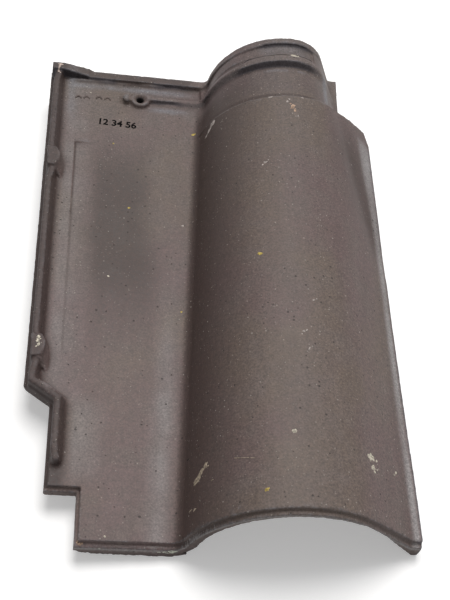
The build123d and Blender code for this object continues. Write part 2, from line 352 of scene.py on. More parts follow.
# Soft masks that the engobe reads, many of them for painted shade, sheen and highlights. They follow the
# tile's forms, in its own directions, mm.
masks = {
    "footLine": (105.6, 18.6, 379),         # left foot of the roll: at the tail, its drift over this length
    "edgeWearAndGlint": (3, 0.05 * mm, 0.30 * mm),  # smoothing rounds, and how far the surface stands out
    "hollow": (42, 0.15 * mm, 1.5 * mm),    # or lies in: painted shade there
    "hollowHead": (400, 408, 0.5),          # weaker at the head: from, to, by
    "hollowRight": (220, 226, 0.3),         # and on the right flank there
    "hollowFoot": (-14, -6, 405),           # and none beside the roll's foot, below this place
    "rollFootShade": (1.5, 7),                   # beside the foot line
    "rollFootFades": (12, 60, 0.8),         # from, to, by
    "rollFootEnds": (418, 395),
    "onPan": (2, -6),
    "onRoll": (8, 14),
    "foldWidth": 11,
    # the pan turns up a little towards its borders, where a bluish sheen is painted
    "rimBesideRoll": (-9, 7),               # middle and width
    "rimBesideRollAlong": (260, 60),
    "rimBesideRib": (14, 19, 46, 22, 0.5),  # rises, falls, strength
    "rimBesideRibAlong": (40, 60),
    "rimUneven": (0.75, 0.35, 16 * mm),
    "rimEnds": (3, -2),
    # bluish bands: rows as in softPatches
    "panSheen": ((16, 999, 4, 430, 434, 3, 0.9), (88, 999, 4, 408, 412, 2.5, 0.9)),
    "ribSheen": (19, 4, 0.6),               # middle, width, strength
    "ribSheenAlong": (380, 400),
    "panSheenEnds": (6, -14),
    "sheenUneven": (0.8, 0.5, 9 * mm),
    "rollSheen": (
        (235.5, 240.5, 2.5, 392, 424, 8, 0.9),      # right edge of the neck
        (180, 218, 6, 411, 413.5, 1, 0.5),          # below the second rib on the crown
        (180, 218, 6, 431, 440, 2, 0.35),           # and in the groove
    ),
    "neck": (384, 390),
    "neckLeft": (4, 14),
    "headFrom": (400, 405),
    "bridge": (126, 178, 4),                # no painted wall shade on the head rib's left flank, above bridgeFrom
    "bridgeFrom": 430,
    "boss": (58, 90, 3),                    # and none at the nail boss
    "crown": (160, 222, 5),
    "flankLeft": (112, 124),
    "length": 460,
    "width": 290,
    "ledgeWidth": (6.8, 5.6),               # at the tail, and how much wider at the head
    "ledgeWidens": (262, 350),
    "ledgeBorder": 2.5,
    "ledgeOuter": (0.6, 3.4),
    "ledgeEnds": (370, 358),
    "ledgeUneven": (0.8, 0.3, 20 * mm),
    "rightFlank": (222, 246),
    "rightFlankEnds": 400,
    "flankShade": (8.5, 14, 3, 0.55),       # beside the ledge: from, to, fading, strength
    "flankShadeHead": (250, 330, 0.5),      # and over the whole flank towards the head
    "flankShadeEnds": (372, 362),
    "edgeShadeLine": (1.5, 0.6),
    "edgeLineEnds": (362, 356),
    "tailFace": 3,                          # the tail's face lies below this place
    "tailLight": (1.6, 4.2, 0.8),           # heights below its upper edge
    "tailFaceShade": (4.6, 6.4),
    "ribBand": (16.0, 9.0),                 # the side lock rib and its wall, darker, with painted shade on the wall and its foot
    "ribBandFrom": 42,
    "ribCrest": (3.5, 6, 0.18),             # its crest is lighter: heights, by
    "headRibShade": (432, 438),
    "nailBoreShade": (4.6, 3.4),                 # distance from the nail hole's middle
    "nailBoreDepth": (3.4, 1.2),
}


def unevenly(points, mean, change, size, seed):
    return mean + change * softNoise(points, size, seed)


def fromRightEdge(x, y):
    # distance from the tile's right edge in each row of 1 mm
    rows = np.clip(y.astype(int), 0, masks["length"])
    edge = np.full(masks["length"] + 1, -1.0)
    np.maximum.at(edge, rows, x)
    return edge[rows] - x


def belowTailEdge(x, y, z):
    # depth below the upper edge of the tail's face, and a large number elsewhere
    columns = np.clip(x.astype(int), 0, masks["width"])
    top = np.full(masks["width"] + 1, -20.0)
    onFace = y < masks["tailFace"]
    np.maximum.at(top, columns[onFace], z[onFace])
    return np.where(onFace, top[columns] - z, 99.0)


def addMasks(mesh):
    points = meshPoints(mesh)
    normals = meshNormals(mesh)
    edges = meshEdges(mesh)
    x, y, z = points.T / mm
    up = normals[:, 2]
    start, drift, length = masks["footLine"]
    besideFoot = x - start - drift * y / length
    ribSide = besideRib(x, y)

    def keep(name, values):
        layer = mesh.attributes.new(name, "FLOAT", "POINT")
        layer.data.foreach_set("value", values.astype(np.float32))

    def step(name, values):
        low, high = masks[name]
        return smoothStep(low, high, values)

    def lessBy(name, values):
        low, high, by = masks[name]
        return by * smoothStep(low, high, values)

    # edges and hollows: worn edges with a painted highlight, and painted shade in the hollows
    rounds, low, high = masks["edgeWearAndGlint"]
    keep("edgeWearAndGlint", smoothStep(low, high, standsOut(points, normals, edges, rounds)))
    rounds, low, high = masks["hollow"]
    hollow = smoothStep(low, high, -standsOut(points, normals, edges, rounds))
    first, last, by = masks["hollowHead"]
    hollow *= 1 - smoothStep(first, last, y) * (by + lessBy("hollowRight", x))
    low, high, end = masks["hollowFoot"]
    keep("hollow", hollow * (1 - smoothStep(low, high, besideFoot) * (y < end)))
    keep("underside", smoothStep(0.2, 0.8, -up))
    keep("onTop", smoothStep(0.2, 0.5, up))

    # the roll: painted shade along its left foot
    rise = step("rollFootShade", besideFoot) * (1 - lessBy("rollFootFades", besideFoot))
    keep("rollFootShade", rise * smoothStep(-0.1, 0.2, up) * step("rollFootEnds", y))
    keep("onRoll", step("onRoll", besideFoot) * smoothStep(0.0, 0.3, up))
    keep("neck", step("neck", y) * step("neckLeft", besideFoot))
    # painted shade along the fold in the right flank
    far, share = fromLine(points / mm, *body["fold"])
    keep("fold", hump(far, 0, masks["foldWidth"]) * smoothStep(0.85, 0.3, abs(share - 0.5)) * (up > 0))

    # the pan's borders: painted sheen
    rim = hump(besideFoot, *masks["rimBesideRoll"]) * step("rimBesideRollAlong", y)
    riseFrom, riseTo, fallTo, fallFrom, strength = masks["rimBesideRib"]
    wideRim = smoothStep(riseFrom, riseTo, ribSide) * smoothStep(fallTo, fallFrom, ribSide)
    rim = np.maximum(rim, strength * wideRim * step("rimBesideRibAlong", y))
    rim *= unevenly(points, *masks["rimUneven"], 41)
    keep("paintedRimSheen", rim * smoothStep(0.9, 0.97, up) * step("rimEnds", besideFoot))

    # bluish sheen beside the ribs
    blue = softPatches(x, y, masks["panSheen"])
    middle, width, strength = masks["ribSheen"]
    blue = np.maximum(blue, strength * hump(ribSide, middle, width) * step("ribSheenAlong", y))
    blue *= smoothStep(0.8, 0.95, up) * step("panSheenEnds", besideFoot)
    blue *= unevenly(points, *masks["sheenUneven"], 43)
    keep("blueSheen", np.maximum(blue, softPatches(x, y, masks["rollSheen"]) * (up > 0)))

    # walls and crests of the ribs: painted shade on the walls that face the tail, painted light on the side
    # walls, and the darker side rib with painted shade on its wall
    tailWard = smoothStep(0.35, 0.75, -normals[:, 1]) * step("headFrom", y)
    onBridge = inRange(x, *masks["bridge"]) * (y > masks["bridgeFrom"])
    keep("headWallShade", tailWard * (1 - onBridge) * (1 - inRange(x, *masks["boss"])))
    # painted light: the second rib's walls on the flanks, which face the tail, lightened towards grey
    keep("sideWallPaintedLight", tailWard * (1 - inRange(x, *masks["crown"])) * step("flankLeft", x))
    # the side rib darker, with painted shade on its wall and foot
    inBand = step("ribBand", ribSide) * (y > masks["ribBandFrom"])
    keep("ribBand", inBand * (1 - lessBy("ribCrest", z)))
    # painted shade at the foot of the head rib, on the pan
    keep("headRibShade", step("headRibShade", y) * step("onPan", besideFoot))

    # the right flank and its ledge: painted sheen on the ledge, painted shade beside it and along the edge
    fromEdge = fromRightEdge(x, y)
    narrow, wider = masks["ledgeWidth"]
    wide = narrow + wider * step("ledgeWidens", y)
    border = masks["ledgeBorder"]
    strip = step("ledgeOuter", fromEdge) * smoothStep(wide + border, wide - border, fromEdge)
    strip *= step("ledgeEnds", y) * smoothStep(0, 0.25, up)
    keep("ledgeSheen", strip * unevenly(points, *masks["ledgeUneven"], 42))
    flank = step("rightFlank", x) * (y < masks["rightFlankEnds"])
    keep("rightFlank", flank)
    low, high, fading, strength = masks["flankShade"]
    shade = strength * inRange(fromEdge, low, high, fading)
    shade += flank * lessBy("flankShadeHead", y) * (1 - strip)
    keep("flankShade", shade * step("flankShadeEnds", y) * (up > 0))
    # painted shade along the rounded right edge
    keep("edgeShadeLine", step("edgeShadeLine", fromEdge) * step("edgeLineEnds", y))

    # the tail's face: a painted highlight band below its upper edge and painted shade lower down; and painted
    # shade in the nail hole
    below = belowTailEdge(x, y, z)
    keep("tailLight", inRange(below, *masks["tailLight"]))
    onFace = (y < masks["tailFace"]) * (normals[:, 1] < -0.2)
    keep("tailFaceShade", step("tailFaceShade", below) * onFace)
    fromNail = np.hypot(x - nailPlace.x / mm, y - nailPlace.y / mm)
    keep("nailBoreShade", step("nailBoreShade", fromNail) * step("nailBoreDepth", z))


class NodeBench:
    # short calls for building one node tree
    def __init__(self, tree):
        self.tree = tree
        tree.nodes.clear()

    def add(self, kind, **inputs):
        node = self.tree.nodes.new("ShaderNode" + kind)
        for name, value in inputs.items():
            self.feed(node, name.replace("_", " "), value)
        return node

    def feed(self, node, name, value):
        if isinstance(value, bpy.types.NodeSocket):
            self.tree.links.new(value, node.inputs[name])
        else:
            node.inputs[name].default_value = value

    def math(self, operation, a, b=0.0):
        node = self.tree.nodes.new("ShaderNodeMath")
        node.operation = operation
        self.feed(node, 0, a)
        self.feed(node, 1, b)
        return node.outputs[0]

    def times(self, *factors):
        result = factors[0]
        for factor in factors[1:]:
            result = self.math("MULTIPLY", result, factor)
        return result

    def ramp(self, value, low, high, start=0.0, end=1.0):
        node = self.tree.nodes.new("ShaderNodeMapRange")
        node.interpolation_type = "SMOOTHSTEP"
        for name, number in (("Value", value), ("From Min", low), ("From Max", high),
                             ("To Min", start), ("To Max", end)):
            self.feed(node, name, number)
        return node.outputs["Result"]

    def mix(self, share, a, b):
        node = self.tree.nodes.new("ShaderNodeMix")
        node.data_type = "RGBA"
        self.feed(node, "Factor", share)
        for name, value in ((6, a), (7, b)):
            self.feed(node, name, value if isinstance(value, bpy.types.NodeSocket) else (*value, 1.0))
        return node.outputs[2]

    def within(self, value, low, high, fading):
        rise = self.ramp(value, (low - fading) * mm, (low + fading) * mm)
        return self.times(rise, self.ramp(value, (high - fading) * mm, (high + fading) * mm, 1.0, 0.0))

    def tilePlace(self, place):
        # across and along in the tile's own directions
        node = self.add("Mapping", Vector=place)
        node.inputs["Location"].default_value = floorToTile.to_translation()
        node.inputs["Rotation"].default_value = floorToTile.to_euler()
        parts = self.tree.nodes.new("ShaderNodeSeparateXYZ")
        self.feed(parts, "Vector", node.outputs["Vector"])
        return parts.outputs["X"], parts.outputs["Y"]

    def shade(self, colour, brightness):
        node = self.tree.nodes.new("ShaderNodeVectorMath")
        node.operation = "SCALE"
        self.feed(node, 0, colour)
        self.feed(node, "Scale", brightness)
        return node.outputs["Vector"]

    def moved(self, place, shift=(0, 0, 0), stretch=(1, 1, 1)):
        node = self.add("Mapping", Vector=place)
        node.inputs["Location"].default_value = shift
        node.inputs["Scale"].default_value = stretch
        return node.outputs["Vector"]

    def noise(self, place, size, detail=2.0, roughness=0.5):
        node = self.add("TexNoise", Vector=place, Scale=1 / size, Detail=detail, Roughness=roughness)
        return node.outputs["Fac"]

    def mask(self, name):
        node = self.tree.nodes.new("ShaderNodeAttribute")
        node.attribute_name = name
        return node.outputs["Fac"]

    def specks(self, place, spacing, share, radius, softness=0.35):
        # round specks: one in some of the cells of a cell texture, each of its own size
        cells = self.add("TexVoronoi", Vector=place, Scale=1 / spacing)
        chosen = self.tree.nodes.new("ShaderNodeSeparateColor")
        self.feed(chosen, "Color", cells.outputs["Color"])
        size = self.math("ADD", self.times(chosen.outputs["Green"], radius / spacing), 0.02)
        near = self.math("DIVIDE", cells.outputs["Distance"], size)
        dot = self.ramp(near, 1 - softness, 1 + softness, 1.0, 0.0)
        return self.times(dot, self.math("LESS_THAN", chosen.outputs["Red"], share))

    def bump(self, height, strength, distance, normal=None):
        node = self.add("Bump", Height=height, Strength=strength, Distance=distance)
        if normal is not None:
            self.feed(node, "Normal", normal)
        return node.outputs["Normal"]

    def surface(self, colour, roughness, normal, specular):
        shader = self.add("BsdfPrincipled", Base_Color=colour, Roughness=roughness, Normal=normal)
        shader.inputs["Specular IOR Level"].default_value = specular
        output = self.tree.nodes.new("ShaderNodeOutputMaterial")
        self.tree.links.new(shader.outputs["BSDF"], output.inputs["Surface"])


def newMaterial(name):
    material = bpy.data.materials.new(name)
    material.use_nodes = True
    return material, NodeBench(material.node_tree)


# The engobe: a thin brown-grey slip, fired matt, with painted shade in the hollows
engobe = {
    "olive": (0.116, 0.088, 0.072),
    "plum": (0.113, 0.078, 0.075),
    "greyed": (0.128, 0.104, 0.096),
    # painted shade: hollows, the roll's foot, the fold, the tail's face and thin lines behind edges
    "paintedShade": (0.036, 0.022, 0.019),
    "patch": (0.046, 0.032, 0.028),
    # dark brown for the side rib, with painted shade on its wall and foot and at the head rib's foot
    "rib": (0.034, 0.022, 0.020),
    "paintedSheen": (0.200, 0.184, 0.180),     # painted sheen, and a painted highlight on the tail's face
    "steel": (0.060, 0.058, 0.070),     # dark bluish: painted shade on the walls of the ribs and along the right edge, and a light share on the neck
    "sheen": (0.170, 0.172, 0.190),     # bluish bands below the head ribs
    "ledgeSheen": (0.240, 0.226, 0.226),     # painted pale sheen on the ledge along the right edge
    "bluish": (0.150, 0.150, 0.163),    # worn edges, with a painted bluish highlight
    "speck": (0.42, 0.38, 0.34),
    "pit": (0.014, 0.010, 0.009),
    "boreShade": (0.003, 0.002, 0.002),
    "bareClay": (0.135, 0.088, 0.066),
    # sizes of the noises
    "slow": 90 * mm,
    "clouds": 22 * mm,
    "streaks": 8 * mm,
    "streakStretch": (1, 0.10, 1),
    "grain": 1.5 * mm,
    "coarse": 3.6 * mm,
    # shares of the tints that change with a noise, at its low and its high end
    "greyedShare": (0.0, 0.8),
    "patchShare": (0.95, 0.7),
    "streakShare": (0.0, 0.16),
    "rimSheenShare": (0.95, 0.65),
    "hollowShare": (0.8, 0.55),
    "sheenShare": (0.55, 0.9),
    "lineShare": (0.6, 1.0),
    "wearAndGlintShare": (0.10, 0.65),
    "underShare": (0.55, 0.8),
    "wearAndGlintOnRib": 0.35,                  # edges of the side rib get less of the wear and painted highlight
    "flankPlum": 0.16,                  # the right flank leans to plum
    # mask, share and tint of each layer, in the order in which they lie
    "formTints": (
        ("neck", 0.16, "steel"), ("ribBand", 0.97, "rib"),
        ("headRibShade", 0.7, "rib"), ("rollFootShade", 0.9, "paintedShade"),
    ),
    "wallTints": (
        ("flankShade", 0.30, "patch"), ("fold", 0.72, "paintedShade"),
        ("headWallShade", 0.6, "steel"), ("sideWallPaintedLight", 0.55, "greyed"),
    ),
    "edgeTints": (
        ("ledgeSheen", 0.95, "ledgeSheen"), ("tailLight", 0.95, "paintedSheen"),
        ("tailFaceShade", 0.6, "paintedShade"), ("edgeShadeLine", 0.8, "steel"),
    ),
    # darker patch of the pan: its fading borders across and along, mm, and how far they wander
    "panPatch": (((30, 50), (103, 78)), ((140, 235), (384, 318))),
    "panPatchWanders": 7 * mm,
    # painted shade lines behind steps and along rib edges: mask, strength, then from, to and fading across
    # and along the tile, mm
    "shadeLines": (
        ("onRoll", 0.85, ((120, 262, 8), (380.5, 384.6, 0.9))),     # behind the rim of the step
        ("onTop", 0.60, ((90, 118, 2), (421.6, 423.4, 0.6))),       # head edge of the second rib
        ("onRoll", 0.60, ((150, 224, 4), (426.8, 428.2, 0.7))),
        ("onTop", 0.40, ((25.0, 26.6, 0.8), (150, 366, 6))),        # sides of the shallow panel
        ("onTop", 0.35, ((25, 40, 8), (363.6, 365.4, 0.8))),
    ),
    # brightness at the low and high end of a noise, and along the tile a painted light, paler at the tail
    "grainBrightness": (0.22, 0.78, 0.62, 1.38),
    "coarseBrightness": (0.2, 0.8, 0.90, 1.10),
    "paintedLightAlong": (50 * mm, 420 * mm, 1.12, 0.93),
    # pale specks, fine ones and pits: strength and tint, where the cells are read,
    # their spacing, share of the cells, largest radius, softness
    "specks": (
        (0.5, "speck", (0, 0, 0), 3.0 * mm, 0.30, 0.52 * mm, 0.35),
        (0.32, "speck", (0.5, 0.2, 0.9), 1.7 * mm, 0.26, 0.40 * mm, 0.35),
        # the pits' near-black is painted shade in them
        (0.8, "pit", (0.31, 0.17, 0.05), 3.6 * mm, 0.22, 0.75 * mm, 0.25),
    ),
    "boreShadeShare": 0.97,
    "roughness": 0.60,
    "glossChange": 0.06,
    "dullUnderside": 0.3,
    "specular": 0.34,
}


def layTints(bench, colour, layers):
    for mask, share, tint in layers:
        colour = bench.mix(bench.times(bench.mask(mask), share), colour, engobe[tint])
    return colour


def byNoise(bench, mask, noise, low, high, shares):
    return bench.times(bench.mask(mask), bench.ramp(noise, low, high, *shares))


def makeEngobe():
    material, bench = newMaterial("engobedClay")
    place = bench.add("TexCoord").outputs["Object"]
    x, y = bench.tilePlace(place)
    slow = bench.noise(place, engobe["slow"], 3.0)
    clouds = bench.noise(bench.moved(place, (0.4, 0.1, 0.2)), engobe["clouds"], 4.0, 0.6)
    stretched = bench.moved(place, (0.2, 0, 0), engobe["streakStretch"])
    streaks = bench.noise(stretched, engobe["streaks"], 3.0, 0.6)
    grain = bench.noise(place, engobe["grain"], 2.0, 0.7)
    coarse = bench.noise(bench.moved(place, (0.7, 0.3, 0.1)), engobe["coarse"], 2.0, 0.6)

    # the slip's own change of colour
    where = bench.math("SUBTRACT", slow, bench.times(bench.mask("rightFlank"), engobe["flankPlum"]))
    colour = bench.mix(bench.ramp(where, 0.38, 0.62), engobe["plum"], engobe["olive"])
    colour = bench.mix(bench.ramp(clouds, 0.35, 0.75, *engobe["greyedShare"]), colour, engobe["greyed"])
    patch = byNoise(bench, "onTop", clouds, 0.2, 0.8, engobe["patchShare"])
    wander = engobe["panPatchWanders"]
    for axis, borders in zip((x, y), engobe["panPatch"]):
        uneven = bench.math("ADD", axis, bench.ramp(slow, 0.3, 0.7, -wander, wander))
        for start, end in borders:
            patch = bench.times(patch, bench.ramp(uneven, start * mm, end * mm))
    colour = bench.mix(patch, colour, engobe["patch"])
    colour = bench.mix(bench.ramp(streaks, 0.35, 0.75, *engobe["streakShare"]), colour, engobe["patch"])

    # what follows the tile's forms: painted shade, painted sheen and highlights, and the bare underside
    # painted sheen on the pan's borders
    rimSheen = byNoise(bench, "paintedRimSheen", streaks, 0.3, 0.8, engobe["rimSheenShare"])
    colour = bench.mix(rimSheen, colour, engobe["paintedSheen"])
    colour = layTints(bench, colour, engobe["formTints"])
    # painted shade in the hollows
    hollow = byNoise(bench, "hollow", clouds, 0.2, 0.8, engobe["hollowShare"])
    colour = bench.mix(hollow, colour, engobe["paintedShade"])
    colour = layTints(bench, colour, engobe["wallTints"])
    sheen = byNoise(bench, "blueSheen", coarse, 0.3, 0.7, engobe["sheenShare"])
    colour = bench.mix(sheen, colour, engobe["sheen"])
    broken = bench.ramp(coarse, 0.3, 0.7, *engobe["lineShare"])
    for mask, share, (across, along) in engobe["shadeLines"]:
        line = bench.times(bench.within(x, *across), bench.within(y, *along), bench.mask(mask), share)
        colour = bench.mix(bench.times(line, broken), colour, engobe["paintedShade"])
    colour = layTints(bench, colour, engobe["edgeTints"])
    # worn edges lightened bluish: wear with a painted highlight
    wearAndGlint = byNoise(bench, "edgeWearAndGlint", coarse, 0.3, 0.7, engobe["wearAndGlintShare"])
    wearAndGlint = bench.times(wearAndGlint, bench.ramp(bench.mask("ribBand"), 0, 1, 1.0, engobe["wearAndGlintOnRib"]))
    colour = bench.mix(wearAndGlint, colour, engobe["bluish"])
    under = byNoise(bench, "underside", clouds, 0.3, 0.7, engobe["underShare"])
    colour = bench.mix(under, colour, engobe["bareClay"])

    # grain and specks, and a painted light that is paler at the tail
    brightness = bench.times(
        bench.ramp(grain, *engobe["grainBrightness"]),
        bench.ramp(coarse, *engobe["coarseBrightness"]),
        bench.ramp(y, *engobe["paintedLightAlong"]),
    )
    colour = bench.shade(colour, brightness)
    dots = []
    for strength, tint, shift, *sizes in engobe["specks"]:
        dots.append(bench.specks(bench.moved(place, shift), *sizes))
        colour = bench.mix(bench.times(dots[-1], strength), colour, engobe[tint])
    paleSpecks, _, pits = dots
    # painted shade: the nail hole's bore near black
    colour = bench.mix(bench.times(bench.mask("nailBoreShade"), engobe["boreShadeShare"]), colour, engobe["boreShade"])

    middle, change = engobe["roughness"], engobe["glossChange"]
    gloss = bench.ramp(clouds, 0.2, 0.8, middle - change, middle + change)
    dull = bench.math("MAXIMUM", bench.mask("underside"), bench.mask("nailBoreShade"))
    roughness = bench.math("ADD", gloss, bench.times(dull, engobe["dullUnderside"]))
    roughness = bench.math("ADD", roughness, bench.ramp(grain, 0.3, 0.7, -0.05, 0.07))
    normal = bench.bump(grain, 0.6, 0.16 * mm)
    normal = bench.bump(coarse, 0.45, 0.30 * mm, normal)
    raised = bench.math("SUBTRACT", bench.times(paleSpecks, 0.5), pits)
    normal = bench.bump(raised, 0.8, 0.3 * mm, normal)
    bench.surface(colour, roughness, normal, engobe["specular"])
    return material


def dress(thing, *materials):
    # the piece moves with the tile and takes the finishes it is given
    thing.data.materials.clear()
    for material in materials:
        thing.data.materials.append(material)
    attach(thing, "root")


tile = makeBody()
addMasks(tile.data)
tile.data.transform(tileToFloor)
engobedClay = makeEngobe()
dress(tile, engobedClay)
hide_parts("roof_tile")
tileTree = BVHTree.FromObject(tile, bpy.context.evaluated_depsgraph_get())
print("body dressed")


def surfaceAt(x, y, fromTail=False):
    # place and normal on the tile's top, or on its tail face where y is then the height
    if fromTail:
        start, way = Vector((x * mm, -0.05, y * mm)), tileAlong
    else:
        start, way = Vector((x * mm, y * mm, 0.2)), -tileUp
    place, normal, _, _ = tileTree.ray_cast(tileToFloor @ start, way)
    return place, normal


# Marks of use and firing: small flakes and chips, pressed flat on the surface.
# Each is its place in the tile's directions, its length, width and turn, mm and degrees.
flecks = {
    "rings": 4,
    "segments": 18,
    "growth": 1.3,
    "crown": 0.20 * mm,     # height in the middle
    "sunkRim": 0.04 * mm,
    "ragged": 0.16,         # how uneven the rim is
    "mottle": 1.6 * mm,
    "shaded": 0.42,         # brightness of the darker spots in each
    "kinds": {
        "creamFlakes": ((0.60, 0.55, 0.45), (
            ((239.8, 50.8), 5.2, 4.4, 80), ((241.0, 43.6), 3.4, 2.8, 95), ((244.8, 50.2), 1.8, 1.3, 60),
            ((241.8, 40.8), 1.8, 1.6, 100), ((263.0, 49.7), 2.2, 1.2, 70), ((261.0, 47.3), 1.4, 1.0, 10),
            ((183.1, 58.9), 3.0, 2.4, 20), ((244.5, 43.4), 1.2, 1.2, 0),
            ((206.4, 425.4), 5.2, 1.8, -4), ((209.8, 425.0), 1.6, 1.2, 10),
        )),
        "duskyFlakes": ((0.40, 0.33, 0.25), (
            ((123.4, 41.3), 6.6, 2.6, 60), ((125.4, 45.0), 4.2, 1.8, 48), ((127.6, 48.0), 3.4, 1.5, 70),
            ((122.2, 38.6), 2.6, 1.8, 60), ((128.6, 46.2), 1.6, 1.0, 20), ((121.0, 18.8), 1.6, 1.0, 40),
            ((118.9, 20.4), 1.4, 0.9, 10), ((131.0, 34.0), 1.2, 0.8, 30),
            ((145.9, 44.2), 3.4, 0.5, -14), ((150.6, 43.0), 4.6, 0.4, -14), ((155.3, 41.7), 3.0, 0.4, -14),
        )),
        "paleScratches": ((0.46, 0.41, 0.38), (
            ((140.2, 375.0), 5.0, 2.2, 62), ((138.2, 371.2), 4.2, 1.8, 60), ((136.1, 367.8), 3.0, 1.3, 58),
            ((195.2, 140.0), 2.2, 1.2, 20), ((197.4, 141.2), 1.4, 1.0, 70), ((193.6, 137.6), 1.2, 0.8, 0),
            ((198.2, 125.4), 2.6, 1.0, 70), ((200.4, 127.4), 1.2, 0.9, 20), ((196.6, 123.0), 1.0, 0.8, 0),
            ((204.8, 168.3), 2.0, 0.8, 30), ((207.0, 169.6), 1.2, 0.8, 80), ((176.4, 304.3), 2.6, 1.6, 10),
            ((174.2, 302.0), 1.4, 1.0, 60), ((178.6, 306.2), 1.2, 0.8, 40), ((199.4, 374.0), 1.6, 1.2, 0),
            ((197.6, 371.2), 1.8, 1.6, 30), ((184.0, 377.2), 3.2, 1.2, 10), ((117.1, 280.7), 1.8, 1.6, 0),
            ((210.8, 377.0), 2.2, 0.9, -8), ((205.6, 354.8), 2.6, 0.7, 84), ((32.0, 424.0), 1.0, 1.0, 0),
        )),
        "tanChips": ((0.50, 0.345, 0.25), (
            ((201.8, 365.4), 4.4, 3.0, 75), ((203.4, 361.4), 3.0, 2.0, 95), ((200.2, 368.6), 1.6, 1.2, 20),
            ((46.5, 1.9), 3.4, 1.5, 12), ((44.4, 3.0), 1.4, 1.0, 60),
        )),
        "roseChips": ((0.62, 0.50, 0.44), (
            ((7.6, 446.4), 3.8, 1.9, 0), ((6.8, 443.8), 3.2, 1.5, 76), ((6.2, 440.8), 3.2, 1.2, 80),
            ((7.4, 438.8), 2.0, 0.8, -40),
        )),
        "darkDots": ((0.010, 0.008, 0.007), (
            ((7.9, 153.4), 1.3, 1.1, 0), ((118.6, 62.4), 0.9, 0.9, 0), ((31.0, 140.6), 0.9, 0.9, 0),
        )),
        "ochreSpecks": ((0.55, 0.42, 0.11), (
            ((163.0, 17.2), 2.6, 1.9, 20), ((127.2, 384.2), 3.0, 2.0, 10), ((115.7, 194.5), 1.3, 1.2, 0),
            ((167.9, 212.2), 3.2, 2.2, 160), ((72.5, 295.3), 1.8, 1.5, 30), ((57.5, 365.9), 1.5, 1.1, 0),
        )),
        "whiteGrains": ((0.72, 0.66, 0.54), (
            ((57.8, 224.2), 1.5, 1.3, 0), ((62.6, 6.4), 1.3, 1.1, 0), ((35.5, 424.6), 1.1, 0.9, 0),
            ((8.0, 157.2), 2.8, 1.9, 80), ((7.6, 153.9), 2.4, 2.4, 10), ((8.4, 150.8), 2.8, 1.7, 70),
            ((6.8, 148.8), 1.4, 0.8, 60), ((9.4, 155.6), 1.2, 0.8, 20),
        )),
    },
    "tailChips": ((0.80, 0.83, 0.70), (
        ((109.0, -6.2), 4.4, 3.6, 10), ((104.0, -7.0), 2.6, 1.5, 0), ((100.2, -7.6), 2.2, 1.0, 4),
        ((59.6, -5.3), 1.2, 1.0, 0), ((111.8, -5.4), 1.8, 1.2, 30), ((106.2, -8.6), 2.4, 1.0, 0),
    )),
}


def makeFlecks(name, colour, rows, fromTail=False):
    mesh = bpy.data.meshes.new(name)
    points, faces = [], []
    rings, segments = flecks["rings"], flecks["segments"]
    for number, ((x, y), length, width, turn) in enumerate(rows):
        wobble = np.random.default_rng(300 + number + int(x)).uniform(-1, 1, 10)
        turn = math.radians(turn)
        first = len(points)
        for ring in range(rings + 1):
            out = ring / rings
            for segment in range(segments if ring else 1):
                angle = 2 * math.pi * segment / segments
                reach = 1 + flecks["ragged"] * sum(
                    wobble[2 * k] * math.cos((k + 2) * angle + 3 * wobble[2 * k + 1]) for k in range(5)
                )
                along = out * reach * flecks["growth"] * length / 2 * math.cos(angle)
                aside = out * reach * flecks["growth"] * width / 2 * math.sin(angle)
                place, normal = surfaceAt(
                    x + along * math.cos(turn) - aside * math.sin(turn),
                    y + along * math.sin(turn) + aside * math.cos(turn),
                    fromTail,
                )
                if place is None:       # past the tail's edge it stays on the last point found
                    points.append(points[-1])
                    continue
                rise = flecks["crown"] * (1 - out**4) - flecks["sunkRim"]
                points.append(place + normal * rise)
        for segment in range(segments):
            after = (segment + 1) % segments
            faces.append((first, first + 1 + segment, first + 1 + after))
            for ring in range(1, rings):
                inner = first + 1 + (ring - 1) * segments
                outer = inner + segments
                faces.append((inner + segment, outer + segment, outer + after, inner + after))
    mesh.from_pydata(points, [], faces)
    mesh.shade_smooth()
    material, bench = newMaterial(name + "Finish")
    place = bench.add("TexCoord").outputs["Object"]
    mottle = bench.noise(place, flecks["mottle"], 4.0, 0.7)
    darker = tuple(flecks["shaded"] * channel for channel in colour)
    tint = bench.mix(bench.ramp(mottle, 0.38, 0.62), darker, colour)
    bench.surface(tint, 0.8, bench.bump(mottle, 0.8, 0.25 * mm), 0.3)
    dress(addObject(name, mesh), material)


for name, (colour, rows) in flecks["kinds"].items():
    makeFlecks(name, colour, rows)
makeFlecks("tailChips", *flecks["tailChips"], fromTail=True)
print("flecks laid")

# Plain inked numbers, as a works puts on a batch, and four shallow arches pressed beside them
inkedNumbers = {
    "words": "12 34 56",
    "corner": (44.3, 387.2),    # lower left
    "width": 32.4,
    "height": 7.4,
    "turn": -3.2,
    "boldness": 0.030,
    "thickness": 0.05 * mm,
    "ink": (0.002, 0.002, 0.002),
    "thinInk": (0.035, 0.026, 0.024),
}


